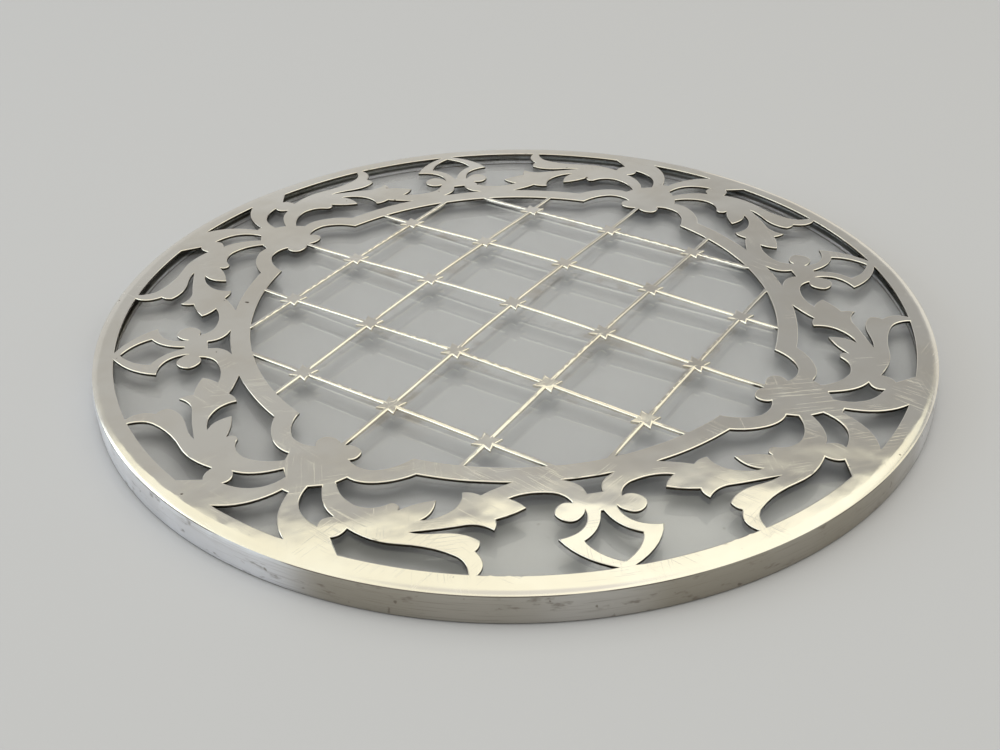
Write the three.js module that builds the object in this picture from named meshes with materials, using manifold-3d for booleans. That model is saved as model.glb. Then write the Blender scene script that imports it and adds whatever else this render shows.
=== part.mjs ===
// Teapot stand: a saw-pierced silver sheet over a clear glass disc, both held by a plain silver band.
// Millimetres, +Z up. The origin is the middle of the circle that the band stands on.
// The four flower heads lie on the X and Y axes and the four buckles on the diagonals between them.

import * as THREE from 'three';
import Module from 'manifold-3d';
import { mergeVertices } from 'three/addons/utils/BufferGeometryUtils.js';

const wasm = await Module();
wasm.setup();

// Driving sizes of the band, the sheet, the glass and the solder
const standRadius = 82.5;
const bandWall = 1.0;
const lipThickness = 0.8;
const lipReach = 2.4;
const footRound = 0.6;
const sheetThickness = 0.6;
const latticeRise = 1.3;
const barWidth = 0.75;
const glassThickness = 4.3;
const glassBevel = 0.5;
const glassClearance = 0.3;
const solderLeg = 0.25;

// How far a saw cut's body stands past each face of the sheet
const sawOverrun = 0.5;

// Sizes that follow from them
const bandInner = standRadius - bandWall;
const lipInner = bandInner - lipReach;
const glassRadius = bandInner - glassClearance;
const glassTop = lipThickness + glassThickness;
const bandHeight = glassTop + glassClearance;

// Fineness and the four-fold turn of the ornament
const rimSegments = 120;
const roundSteps = 3;
const bendFacet = THREE.MathUtils.degToRad(24);
const rimFacet = THREE.MathUtils.degToRad(4);
const quarterTurn = Math.PI / 2;
const quarterTurns = [0, 1, 2, 3].map((count) => count * quarterTurn);

// The lattice and its frame, as shares of the stand's radius
const frameInnerShare = 0.636;
const domeShare = 0.65;
const barOffsetShares = [-0.4915, -0.249, 0, 0.249, 0.4915];
const starTipShare = 0.024;
const starNeckShare = 0.0185;

// Saw cuts beside a flower head, as shares of the stand's radius: x along the rim, y outwards through it.
// Two numbers are a corner, four are a bend point and the corner where that curve ends,
// and a row that ends in 'rim' runs round the middle of the stand to its corner.
const fanHalfShares = [
  [0, 0.835],
  [0.008, 0.835],
  [0.029, 0.915, 0.093, 0.9454],
  [0, 0.95, 'rim'],
];
const stemCutShares = [
  [0.029, 0.801],
  [0.051, 0.783],
  [0.0885, 0.8375, 0.132, 0.844],
  [0.109, 0.862, 0.122, 0.883],
  [0.04, 0.877, 0.029, 0.801],
];
const ringCutShares = [
  [0.164, 0.895],
  [0.208, 0.925],
  [0.4395, 0.842, 'rim'],
  [0.421, 0.814, 0.392, 0.813],
  [0.34, 0.813, 0.282, 0.843],
  [0.235, 0.867, 0.175, 0.858],
  [0.179, 0.884, 0.164, 0.895],
];
const leafCutShares = [
  [0.068, 0.76],
  [0.101, 0.795, 0.146, 0.797],
  [0.187, 0.792, 0.199, 0.757],
  [0.21, 0.747, 0.222, 0.757],
  [0.225, 0.766],
  [0.238, 0.731, 0.269, 0.702],
  [0.292, 0.738, 0.277, 0.768],
  [0.307, 0.746, 0.314, 0.705],
  [0.316, 0.676, 0.299, 0.656],
  [0.311, 0.643, 0.335, 0.643],
  [0.342, 0.618, 0.366, 0.577],
  [0.188, 0.6565, 'rim'],
  [0.172, 0.693, 0.14, 0.718],
  [0.108, 0.742, 0.077, 0.737],
];
const sideCutShares = [
  [0.455, 0.834],
  [0.456, 0.795, 0.415, 0.783],
  [0.418, 0.769, 0.408, 0.755],
  [0.371, 0.747, 0.33, 0.778],
  [0.304, 0.799, 0.278, 0.807],
  [0.331, 0.762, 0.36, 0.731],
  [0.383, 0.711, 0.414, 0.716],
  [0.411, 0.698, 0.399, 0.688],
  [0.419, 0.661, 0.43, 0.629],
  [0.412, 0.62, 0.386, 0.624],
  [0.404, 0.585, 0.45, 0.563],
  [0.476, 0.553, 0.499, 0.569],
  [0.478, 0.575, 0.479, 0.598],
  [0.48, 0.622, 0.506, 0.623],
  [0.532, 0.622, 0.533, 0.596],
  [0.534, 0.58, 0.528, 0.572],
  [0.575, 0.62, 0.529, 0.675],
  [0.592, 0.703, 0.662, 0.6815],
  [0.455, 0.834, 'rim'],
];

// The edge of the lattice field from the middle of a flower head to the cusp beside it
const headEdgeShares = [
  [0, 0.666],
  [0.004, 0.65, 0.028, 0.648],
  [0.053, 0.648, 0.054, 0.669],
  [0.055, 0.683, 0.045, 0.69],
  [0.072, 0.706, 0.106, 0.692],
  [0.142, 0.668, 0.152, 0.6176],
];

// Saw cuts on a buckle's own middle line, read in the same way with y outwards through the buckle
const footHalfShares = [
  [0, 0.683],
  [0.055, 0.6808, 'rim'],
  [0.015, 0.697, 0.016, 0.735],
  [0, 0.735],
];
const buckleHalfShares = [
  [0, 0.936],
  [0.045, 0.909, 0.057, 0.8655],
  [0.014, 0.842, 0.003, 0.789],
  [0, 0.789],
];

const silver = new THREE.MeshStandardMaterial({ color: 0xc9c5bb, roughness: 0.24, metalness: 1 });
const bandSilver = new THREE.MeshStandardMaterial({ color: 0xb5b1a8, roughness: 0.36, metalness: 1 });
const solder = new THREE.MeshStandardMaterial({ color: 0xa39f96, roughness: 0.5, metalness: 1 });
const glass = new THREE.MeshStandardMaterial({
  color: 0xe4eae6,
  roughness: 0.04,
  metalness: 0,
  transparent: true,
  opacity: 0.3,
});

// Follows an outline's rows and gives its points in millimetres
function traceOutline(rows) {
  const points = [cornerPoint(rows[0])];
  for (const row of rows.slice(1)) {
    const from = points.at(-1);
    const stretch = row.length === 4 ? bendPoints(from, row) : straightOrRimPoints(from, row);
    points.push(...stretch);
  }
  return points;
}

function cornerPoint([x, y]) {
  return new THREE.Vector2(x, y).multiplyScalar(standRadius);
}

// Points along the curve that leaves one corner, is drawn towards the bend point and ends in the next corner
function bendPoints(from, row) {
  const bend = cornerPoint(row);
  const end = cornerPoint(row.slice(2));
  const turn = bend.clone().sub(from).angleTo(end.clone().sub(bend));
  const steps = Math.max(2, Math.ceil(turn / bendFacet));
  return new THREE.QuadraticBezierCurve(from, bend, end).getPoints(steps).slice(1);
}

function straightOrRimPoints(from, row) {
  const end = cornerPoint(row);
  return row.at(-1) === 'rim' ? rimPoints(from, end) : [end];
}

// Points along an arc about the middle of the stand, its radius running evenly from one end to the other
function rimPoints(from, end) {
  const sweep = end.angle() - from.angle();
  const steps = Math.max(1, Math.ceil(Math.abs(sweep) / rimFacet));
  const points = [];
  for (let step = 1; step <= steps; step += 1) {
    const way = step / steps;
    const radius = THREE.MathUtils.lerp(from.length(), end.length(), way);
    points.push(pointAtAngle(radius, from.angle() + sweep * way));
  }
  return points;
}

function pointAtAngle(radius, angle) {
  return new THREE.Vector2(Math.cos(angle), Math.sin(angle)).multiplyScalar(radius);
}

function mirrored(points) {
  return points.map((point) => new THREE.Vector2(-point.x, point.y)).reverse();
}

function turned(points, angle) {
  return points.map((point) => point.clone().rotateAround(new THREE.Vector2(), angle));
}

// A half outline that starts and ends on the middle line, closed by its mirror image
function closedFromHalf(rows) {
  const half = traceOutline(rows);
  return [...half, ...mirrored(half).slice(1, -1)];
}

// The whole edge of the lattice field, clockwise, a quarter at a time from diagonal to diagonal
function fieldOutline() {
  const headEdge = traceOutline(headEdgeShares);
  const diagonal = pointAtAngle(frameInnerShare * standRadius, quarterTurn / 2);
  const half = [...headEdge, ...rimPoints(headEdge.at(-1), diagonal)];
  const quarter = [...mirrored(half).slice(1), ...half.slice(1)];
  return quarterTurns.flatMap((angle) => turned(quarter, -angle));
}

// The closed body of a mesh geometry, its shared corners merged and its empty triangles left out
function solidOf(geometry) {
  const bare = geometry.clone();
  bare.deleteAttribute('normal');
  bare.deleteAttribute('uv');
  const merged = mergeVertices(bare);
  const corners = merged.index.array;
  const kept = [];
  for (let first = 0; first < corners.length; first += 3) {
    const [a, b, c] = corners.slice(first, first + 3);
    if (a !== b && b !== c && c !== a) kept.push(a, b, c);
  }
  const vertProperties = new Float32Array(merged.attributes.position.array);
  return new wasm.Manifold(new wasm.Mesh({ numProp: 3, vertProperties, triVerts: new Uint32Array(kept) }));
}

function geometryOf(solid) {
  const mesh = solid.getMesh();
  const geometry = new THREE.BufferGeometry();
  geometry.setAttribute('position', new THREE.BufferAttribute(mesh.vertProperties, 3));
  geometry.setIndex(new THREE.BufferAttribute(mesh.triVerts, 1));
  return geometry;
}

// A body with the given outline that stands past both faces of the sheet
function throughBody(points, overrun) {
  const depth = sheetThickness + overrun * 2;
  const geometry = new THREE.ExtrudeGeometry(new THREE.Shape(points), { depth, bevelEnabled: false });
  geometry.translate(0, 0, -overrun);
  return solidOf(geometry);
}

// A body turned about Z from points given as radius and height, anticlockwise round its section
function turnedGeometry(section) {
  const points = section.map(([radius, height]) => new THREE.Vector2(radius, height));
  return new THREE.LatheGeometry(points, rimSegments).rotateX(quarterTurn);
}

// A quarter round on the edge of a turned body, as points of radius and height
function quarterRound(radius, height, size, startAngle) {
  const points = [];
  for (let step = 0; step <= roundSteps; step += 1) {
    const angle = startAngle + (step / roundSteps) * quarterTurn;
    points.push([radius + Math.cos(angle) * size, height + Math.sin(angle) * size]);
  }
  return points;
}

// One star with a point on each diagonal and a neck where each bar leaves it
function starOutline(centre) {
  const tip = starTipShare * standRadius;
  const neck = starNeckShare * standRadius;
  const side = barWidth / 2;
  const corner = [new THREE.Vector2(side, neck), new THREE.Vector2(tip, tip), new THREE.Vector2(neck, side)];
  const points = quarterTurns.flatMap((angle) => turned(corner, -angle));
  return points.map((point) => point.add(centre));
}

// One bar from rim to rim, its middle line at an offset from the middle of the stand
function barOutline(offset) {
  const side = barWidth / 2;
  return [
    new THREE.Vector2(-standRadius, offset - side),
    new THREE.Vector2(standRadius, offset - side),
    new THREE.Vector2(standRadius, offset + side),
    new THREE.Vector2(-standRadius, offset + side),
  ];
}

// The lattice: bars both ways, and a star wherever two of them cross inside the frame
function latticeOutlines() {
  const offsets = barOffsetShares.map((share) => share * standRadius);
  const bars = offsets.map(barOutline);
  const outlines = [...bars, ...bars.map((bar) => turned(bar, quarterTurn))];
  for (const x of offsets) {
    for (const y of offsets) {
      const crossing = new THREE.Vector2(x, y);
      if (crossing.length() < frameInnerShare * standRadius) outlines.push(starOutline(crossing));
    }
  }
  return outlines;
}

// The cuts of the border: those beside each flower head on both of its sides, and those of each buckle
function borderOutlines() {
  const headCuts = [stemCutShares, ringCutShares, leafCutShares, sideCutShares].map(traceOutline);
  const atHeads = [closedFromHalf(fanHalfShares), ...headCuts, ...headCuts.map(mirrored)];
  const atBuckles = [footHalfShares, buckleHalfShares].map(closedFromHalf);
  const quarter = [...atHeads, ...atBuckles.map((cut) => turned(cut, quarterTurn / 2))];
  return quarterTurns.flatMap((angle) => quarter.map((cut) => turned(cut, angle)));
}

// The sheet: a round blank with its upper edge rounded over, pierced, then raised a little over the glass
function piercedSheetGeometry() {
  const blankSection = [
    [0, 0],
    ...quarterRound(standRadius - sheetThickness, 0, sheetThickness, 0),
    [0, sheetThickness],
  ];
  let sheet = solidOf(turnedGeometry(blankSection));
  for (const outline of borderOutlines()) sheet = sheet.subtract(throughBody(outline, sawOverrun));
  let cells = throughBody(fieldOutline(), sawOverrun);
  for (const outline of latticeOutlines()) cells = cells.subtract(throughBody(outline, sawOverrun * 2));
  return raised(geometryOf(sheet.subtract(cells)));
}

// Lifts the lattice into a shallow dome that levels out under the frame
function raised(geometry) {
  const position = geometry.attributes.position;
  const domeRadius = domeShare * standRadius;
  for (let index = 0; index < position.count; index += 1) {
    const out = Math.hypot(position.getX(index), position.getY(index)) / domeRadius;
    const lift = out < 1 ? latticeRise * (1 - out * out) ** 2 : 0;
    position.setZ(index, position.getZ(index) + lift);
  }
  geometry.computeVertexNormals();
  return geometry;
}

// The band: an upright wall with its foot turned in as a lip under the glass
function bandGeometry() {
  return turnedGeometry([
    [lipInner, 0],
    ...quarterRound(standRadius - footRound, footRound, footRound, -quarterTurn),
    [standRadius, bandHeight],
    [bandInner, bandHeight],
    [bandInner, lipThickness],
    [lipInner, lipThickness],
    [lipInner, 0],
  ]);
}

// The glass disc with its two edges ground off
function glassGeometry() {
  return turnedGeometry([
    [0, lipThickness],
    [glassRadius - glassBevel, lipThickness],
    [glassRadius, lipThickness + glassBevel],
    [glassRadius, glassTop - glassBevel],
    [glassRadius - glassBevel, glassTop],
    [0, glassTop],
  ]);
}

// The solder that ran into the corner between the band's wall and the sheet
function solderGeometry() {
  return turnedGeometry([
    [bandInner, bandHeight - solderLeg],
    [bandInner, bandHeight],
    [bandInner - solderLeg, bandHeight],
    [bandInner, bandHeight - solderLeg],
  ]);
}

function namedMesh(name, geometry, material) {
  const mesh = new THREE.Mesh(geometry, material);
  mesh.name = name;
  return mesh;
}

const piercedSheet = namedMesh('pierced_silver_sheet', piercedSheetGeometry(), silver);
piercedSheet.position.z = bandHeight;

const stand = new THREE.Group();
stand.name = 'teapot_stand';
stand.add(
  piercedSheet,
  namedMesh('silver_rim_band', bandGeometry(), bandSilver),
  namedMesh('clear_glass_disc', glassGeometry(), glass),
  namedMesh('solder_seam', solderGeometry(), solder),
);

export default stand;
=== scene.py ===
# Round teapot stand: a pierced silver sheet over a clear glass disc, in a plain silver band.
# Metres, +Z up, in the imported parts' frame: flower heads on the X and Y axes, buckles on the diagonals.

import math

import bpy
from mathutils import Matrix, Vector
from mathutils.geometry import delaunay_2d_cdt
from mathutils.kdtree import KDTree


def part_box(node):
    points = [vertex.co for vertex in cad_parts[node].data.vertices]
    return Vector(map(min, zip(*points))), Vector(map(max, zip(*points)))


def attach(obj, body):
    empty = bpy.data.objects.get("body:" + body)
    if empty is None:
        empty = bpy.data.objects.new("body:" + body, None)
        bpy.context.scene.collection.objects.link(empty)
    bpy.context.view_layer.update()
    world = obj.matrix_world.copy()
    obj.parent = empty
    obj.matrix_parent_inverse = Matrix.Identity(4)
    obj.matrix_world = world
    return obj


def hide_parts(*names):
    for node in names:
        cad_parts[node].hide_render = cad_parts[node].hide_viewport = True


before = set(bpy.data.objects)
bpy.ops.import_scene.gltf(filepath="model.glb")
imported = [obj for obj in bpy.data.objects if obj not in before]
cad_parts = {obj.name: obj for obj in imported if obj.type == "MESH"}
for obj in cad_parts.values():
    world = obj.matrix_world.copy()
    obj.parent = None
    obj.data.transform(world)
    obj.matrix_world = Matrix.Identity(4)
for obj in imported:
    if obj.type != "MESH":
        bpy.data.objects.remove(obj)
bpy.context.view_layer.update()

mm = 0.001
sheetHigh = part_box("pierced_silver_sheet")[1]
bandLow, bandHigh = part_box("silver_rim_band")
glassLow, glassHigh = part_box("clear_glass_disc")
solderLow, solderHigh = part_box("solder_seam")
standRadius = sheetHigh.x
bandLean = 0.25 * mm  # the band's upper edge and the sheet's edge stand in by this much
weldDistance = 0.002 * mm
unevenNoise = (50.0, 2.5, 0.55)  # scale, detail and roughness of the sheet's waves, in shape and in shine

# The lattice and its frame, as shares of the stand's radius
frameInnerShare = 0.636
domeShare = 0.65
barOffsetShares = [0, 0.249, 0.4915]
starTipShare = 0.024
starNeckShare = 0.0185


# Node helpers, for geometry and for materials

def feed(tree, socket, value):
    if isinstance(value, bpy.types.NodeSocket):
        tree.links.new(value, socket)
    else:
        socket.default_value = value


def connect(tree, node, inputs):
    for name, value in inputs.items():
        feed(tree, node.inputs[name], value)
    return node


def addNode(tree, kind, inputs=None, **settings):
    node = tree.nodes.new(kind)
    for name, value in settings.items():
        setattr(node, name, value)
    return connect(tree, node, inputs or {})


def firstOf(tree, kind, inputs=None, **settings):  # the first output of a new node
    return addNode(tree, kind, inputs, **settings).outputs[0]


def geo(tree, kind, inputs=None, **settings):
    return firstOf(tree, "GeometryNode" + kind, inputs, **settings)


def calc(tree, operation, *values):
    node = addNode(tree, "ShaderNodeMath", operation=operation)
    for socket, value in zip(node.inputs, values):
        feed(tree, socket, value)
    return node.outputs[0]


def times(tree, first, second):
    return calc(tree, "MULTIPLY", first, second)


def vecCalc(tree, operation, first, second=None, third=None):
    node = addNode(tree, "ShaderNodeVectorMath", {0: first}, operation=operation)
    if second is not None:
        feed(tree, node.inputs["Scale" if operation == "SCALE" else 1], second)
    if third is not None:
        feed(tree, node.inputs[2], third)
    return node.outputs["Value" if operation in ("DOT_PRODUCT", "LENGTH") else "Vector"]


def heightOf(tree, vector):
    return addNode(tree, "ShaderNodeSeparateXYZ", {0: vector}).outputs["Z"]


def upBy(tree, height):  # a vector that points up
    return firstOf(tree, "ShaderNodeCombineXYZ", {"Z": height})


def fade(tree, value, start, end, low=0.0, high=1.0, course="SMOOTHSTEP"):  # from low to high
    inputs = {"Value": value, "From Min": start, "From Max": end, "To Min": low, "To Max": high}
    return firstOf(tree, "ShaderNodeMapRange", inputs, interpolation_type=course)


def noiseAt(tree, vector, scale, detail=2.0, roughness=0.5, output="Fac"):
    inputs = {"Vector": vector, "Scale": scale, "Detail": detail, "Roughness": roughness}
    return addNode(tree, "ShaderNodeTexNoise", inputs).outputs[output]


def patchesOf(tree, vector, kind):  # soft-edged patches, where the noise passes its fade
    return fade(tree, noiseAt(tree, vector, *kind["noise"]), *kind["fade"])


def marksOf(tree, vector, kind):  # noise stretched into marks
    return noiseAt(tree, vecCalc(tree, "MULTIPLY", vector, kind["scale"]), 1.0, *kind["grain"])


geometrySocket = "NodeSocketGeometry"
floatSocket = "NodeSocketFloat"
materialSocket = "NodeSocketMaterial"
valueSockets = {float: floatSocket, int: "NodeSocketInt"}


def newTree(name, kind, inputs, outputs):  # an input is given by its default or its kind of socket
    tree = bpy.data.node_groups.new(name, kind)
    for label, value in inputs.items():
        socketKind = valueSockets.get(type(value), value)
        socket = tree.interface.new_socket(label, in_out="INPUT", socket_type=socketKind)
        if socketKind != value:
            socket.default_value = value
    for label, socketKind in outputs.items():
        tree.interface.new_socket(label, in_out="OUTPUT", socket_type=socketKind)
    return tree, tree.nodes.new("NodeGroupInput").outputs, tree.nodes.new("NodeGroupOutput").inputs


# Surface effects shared by the materials. In every look a noise is a scale, a detail and a roughness,
# a grain is a detail and a roughness, and a fade is where a smooth step starts and where it is full.

def objectPlace(tree):
    return addNode(tree, "ShaderNodeTexCoord").outputs["Object"]


def turnedAbout(tree, place, angle):
    inputs = {"Vector": place, "Angle": angle}
    return firstOf(tree, "ShaderNodeVectorRotate", inputs, rotation_type="Z_AXIS")


def distanceOut(tree, place):  # from the axis of the stand
    return vecCalc(tree, "LENGTH", vecCalc(tree, "MULTIPLY", place, (1, 1, 0)))


def sliceAt(tree, place, height):  # one level slice of the noise, used at every height
    return vecCalc(tree, "MULTIPLY_ADD", place, (1, 1, 0), (0.0, 0.0, height))


scratchLook = {
    "bend": 3 * mm,
    "bendNoise": (55.0, 1.0),
    "degrees": (8, 47, 96, 142),
    "leastNoise": (0.78, 0.58),  # for the smallest amount and for the largest
    "edge": 0.05,
    "patches": {"noise": (75.0, 1.0), "fade": (0.53, 0.66)},
    "patchShift": 0.1,
}


def makeFineScratches(look):  # thin, slightly bent lines in several directions, gathered in patches
    inputs = {"Seed": 0.0, "Width": 0.15 * mm, "Length": 9 * mm, "Amount": 0.5}
    tree, given, result = newTree("fineScratches", "ShaderNodeTree", inputs, {"Mask": floatSocket})
    place = objectPlace(tree)
    seed = upBy(tree, given["Seed"])
    bend = vecCalc(tree, "SCALE", noiseAt(tree, place, *look["bendNoise"], output="Color"), look["bend"])
    bentPlace = vecCalc(tree, "ADD", place, bend)
    across = calc(tree, "DIVIDE", 1.0, given["Width"])
    along = calc(tree, "DIVIDE", 1.0, given["Length"])
    stretch = firstOf(tree, "ShaderNodeCombineXYZ", {"X": across, "Y": along, "Z": along})
    threshold = fade(tree, given["Amount"], 0.0, 1.0, *look["leastNoise"])
    limit = calc(tree, "ADD", threshold, look["edge"])
    lines = 0.0
    for step, degrees in enumerate(look["degrees"]):
        turned = vecCalc(tree, "MULTIPLY", turnedAbout(tree, bentPlace, math.radians(degrees)), stretch)
        line = fade(tree, noiseAt(tree, vecCalc(tree, "ADD", turned, seed), 1.0, 0.0), threshold, limit)
        shifted = vecCalc(tree, "ADD", place, (look["patchShift"] * step, 0.0, 0.0))
        lines = calc(tree, "MAXIMUM", lines, times(tree, line, patchesOf(tree, shifted, look["patches"])))
    feed(tree, result["Mask"], lines)
    return tree


wearLook = {
    "cloudGrain": (4.0, 0.6),
    "smearGrain": (3.0, 0.7),
    "smearAngle": 0.6,
    "smearStretch": (5.0, 1.2, 1.2),
}


def makeHandWear(look):  # broad cloudy areas and finer smears from handling and old polish
    inputs = {"Size": 30 * mm, "Contrast": 0.2}
    outputs = {"Clouds": floatSocket, "Smears": floatSocket}
    tree, given, result = newTree("handWear", "ShaderNodeTree", inputs, outputs)
    place = objectPlace(tree)
    scale = calc(tree, "DIVIDE", 1.0, given["Size"])
    low = calc(tree, "SUBTRACT", 0.5, given["Contrast"])
    high = calc(tree, "ADD", 0.5, given["Contrast"])
    clouds = noiseAt(tree, place, scale, *look["cloudGrain"])
    turned = turnedAbout(tree, place, look["smearAngle"])
    stretched = vecCalc(tree, "MULTIPLY", turned, look["smearStretch"])
    smears = noiseAt(tree, stretched, scale, *look["smearGrain"])
    feed(tree, result["Clouds"], fade(tree, clouds, low, high))
    feed(tree, result["Smears"], fade(tree, smears, low, high))
    return tree


fineScratches = makeFineScratches(scratchLook)
handWear = makeHandWear(wearLook)
print("stage: shared surface effects are ready")


def newMaterial(name):
    material = bpy.data.materials.new(name)
    material.use_nodes = True
    tree = material.node_tree
    return material, tree, tree.nodes["Principled BSDF"]


def groupNode(tree, group, **values):
    return connect(tree, addNode(tree, "ShaderNodeGroup", node_tree=group), values).outputs


def mixColour(tree, factor, first, second):  # 6, 7 and 2 are the colour sockets
    inputs = {"Factor": factor, 6: first, 7: second}
    return connect(tree, addNode(tree, "ShaderNodeMix", data_type="RGBA"), inputs).outputs[2]


def metal(tree, surface, colour, rough, bump):
    connect(tree, surface, {"Metallic": 1.0, "Base Color": colour, "Roughness": rough, "Normal": bump})


def bumpFrom(tree, height, distance, normal=None):
    node = addNode(tree, "ShaderNodeBump", {"Height": height, "Distance": distance, "Strength": 1.0})
    if normal is not None:
        feed(tree, node.inputs["Normal"], normal)
    return node.outputs["Normal"]


# Polished silver of the sheet

polishedSilver = {
    "colour": (0.895, 0.862, 0.78, 1),
    "tarnish": (0.68, 0.60, 0.455, 1),
    # sawn walls: tarnish in the cuts, and painted shade below the lit edges
    "sawnWallAndShade": (0.06, 0.05, 0.04, 1),
    # underside: unpolished tarnish, and painted shade for its reflection in the glass
    "undersideTarnishAndShade": (0.10, 0.085, 0.07, 1),
    "pit": (0.22, 0.19, 0.15, 1),
    "roughness": 0.05,
    "smearRoughness": 0.05,
    "scratchRoughness": 0.13,
    "sawnRoughness": 0.42,
    "tarnishAmount": 0.28,
    "pits": {"noise": (620.0, 1.0), "fade": (0.785, 0.82)},
    "sawnFade": (0.45, 0.12),  # of how far a face looks up or down
    "underFade": (-0.4, -0.8),
    "latticeSawn": 0.12,  # the lattice's sawn walls get little of the tarnish and painted shade
    "frameEdgeShare": 0.98,  # of the frame's inner radius
    "shoulderShare": 0.970,
    "rimWearShares": (0.978, 0.990),
    "rimWear": 0.12,
    "unevenDepth": 0.19 * mm,
    "unevenSlice": 18.722,  # where the waves lie as in the photograph
    "scratchDepth": 0.003 * mm,
    "sawMarks": {"scale": (3600.0, 3600.0, 500.0), "grain": [2.0]},
    "sawMarkDepth": 0.03 * mm,
}


def makePolishedSilver(look):
    material, tree, surface = newMaterial("polished_silver")
    wear = groupNode(tree, handWear, Size=26 * mm, Contrast=0.13)
    scratches = groupNode(tree, fineScratches, Seed=3.0, Amount=0.4)
    marks = groupNode(tree, fineScratches, Seed=11.0, Amount=0.12, Width=0.28 * mm, Length=16 * mm)
    lines = calc(tree, "MAXIMUM", scratches["Mask"], marks["Mask"])
    place = objectPlace(tree)
    upward = heightOf(tree, addNode(tree, "ShaderNodeNewGeometry").outputs["Normal"])
    out = distanceOut(tree, place)
    frameInner = frameInnerShare * standRadius
    onBorder = fade(tree, out, look["frameEdgeShare"] * frameInner, frameInner, look["latticeSawn"])
    onBorder = times(tree, onBorder, calc(tree, "LESS_THAN", out, look["shoulderShare"] * standRadius))
    sawnWallAndShade = times(tree, fade(tree, calc(tree, "ABSOLUTE", upward), *look["sawnFade"]), onBorder)
    under = fade(tree, upward, *look["underFade"])
    sawMarks = marksOf(tree, place, look["sawMarks"])
    tarnish = times(tree, wear["Clouds"], look["tarnishAmount"])
    colour = mixColour(tree, tarnish, look["colour"], look["tarnish"])
    colour = mixColour(tree, patchesOf(tree, place, look["pits"]), colour, look["pit"])
    # the border's sawn walls go near black: tarnish and painted shade
    colour = mixColour(tree, sawnWallAndShade, colour, look["sawnWallAndShade"])
    # faces that look down are dark: tarnish and painted shade
    colour = mixColour(tree, under, colour, look["undersideTarnishAndShade"])
    smeared = calc(tree, "MULTIPLY_ADD", wear["Smears"], look["smearRoughness"], look["roughness"])
    wearStart, wearFull = [share * standRadius for share in look["rimWearShares"]]
    smeared = calc(tree, "ADD", smeared, fade(tree, out, wearStart, wearFull, 0.0, look["rimWear"]))
    scratched = calc(tree, "MULTIPLY_ADD", lines, look["scratchRoughness"], smeared)
    unpolished = calc(tree, "MAXIMUM", sawnWallAndShade, under)
    dulled = look["sawnRoughness"] - look["roughness"]
    rough = calc(tree, "MULTIPLY_ADD", unpolished, dulled, scratched)
    uneven = noiseAt(tree, sliceAt(tree, place, look["unevenSlice"]), *unevenNoise)
    uneven = times(tree, uneven, -1.0)
    bump = bumpFrom(tree, uneven, look["unevenDepth"])
    bump = bumpFrom(tree, times(tree, lines, -1.0), look["scratchDepth"], bump)
    bump = bumpFrom(tree, times(tree, sawMarks, sawnWallAndShade), look["sawMarkDepth"], bump)
    metal(tree, surface, colour, rough, bump)
    return material


# Dull silver of the band

wornSilver = {
    "colour": (0.87, 0.88, 0.91, 1),
    # brownish tarnish, also darkening the band's front and right as painted shade
    "tarnish": (0.40, 0.37, 0.315, 1),
    # grime, and the painted shade at the band's foot
    "grimeAndShade": (0.20, 0.17, 0.14, 1),
    "roughness": 0.30,
    "wornRoughness": 0.16,
    "stainRoughness": 0.3,
    "tarnishAndShadePatches": {"noise": (22.0, 2.0), "fade": (0.42, 0.70)},
    "tarnishAndShadeSlice": 211.122,  # where the patches lie as in the photograph
    "streaks": {"scale": (90.0, 90.0, 4200.0), "grain": (3.0, 0.6)},
    "streakFade": (0.52, 0.75),
    "streakStain": 0.35,
    "fine": {"scale": (1400.0, 1400.0, 5000.0), "grain": (2.0, 0.6)},
    "fineShare": 0.5,
    "chatter": {"scale": (2600.0, 2600.0, 120.0), "grain": [1.0]},
    "chatterPatches": {"noise": (45.0, 1.0), "fade": (0.5, 0.62)},
    "chatterShare": 0.8,
    "pits": {"noise": (520.0, 1.5), "fade": (0.71, 0.76)},
    "pitGrime": 0.8,
    "smudges": {"noise": (210.0, 3.0, 0.65), "fade": (0.57, 0.70)},
    "smudgeScale": (1, 1, 2.5),
    "smudgeGrime": 0.6,
    "streakDepth": 0.012 * mm,
    "seamGrime": 0.22 * mm,
    "seamPatches": {"noise": (60.0, 2.0), "fade": (0.38, 0.52)},
    # height of the painted shade at the band's foot, where it meets the floor
    "footShadeHeight": 0.40 * mm,
    "fullGrimeAndShadeShare": 0.3,
}


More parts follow.
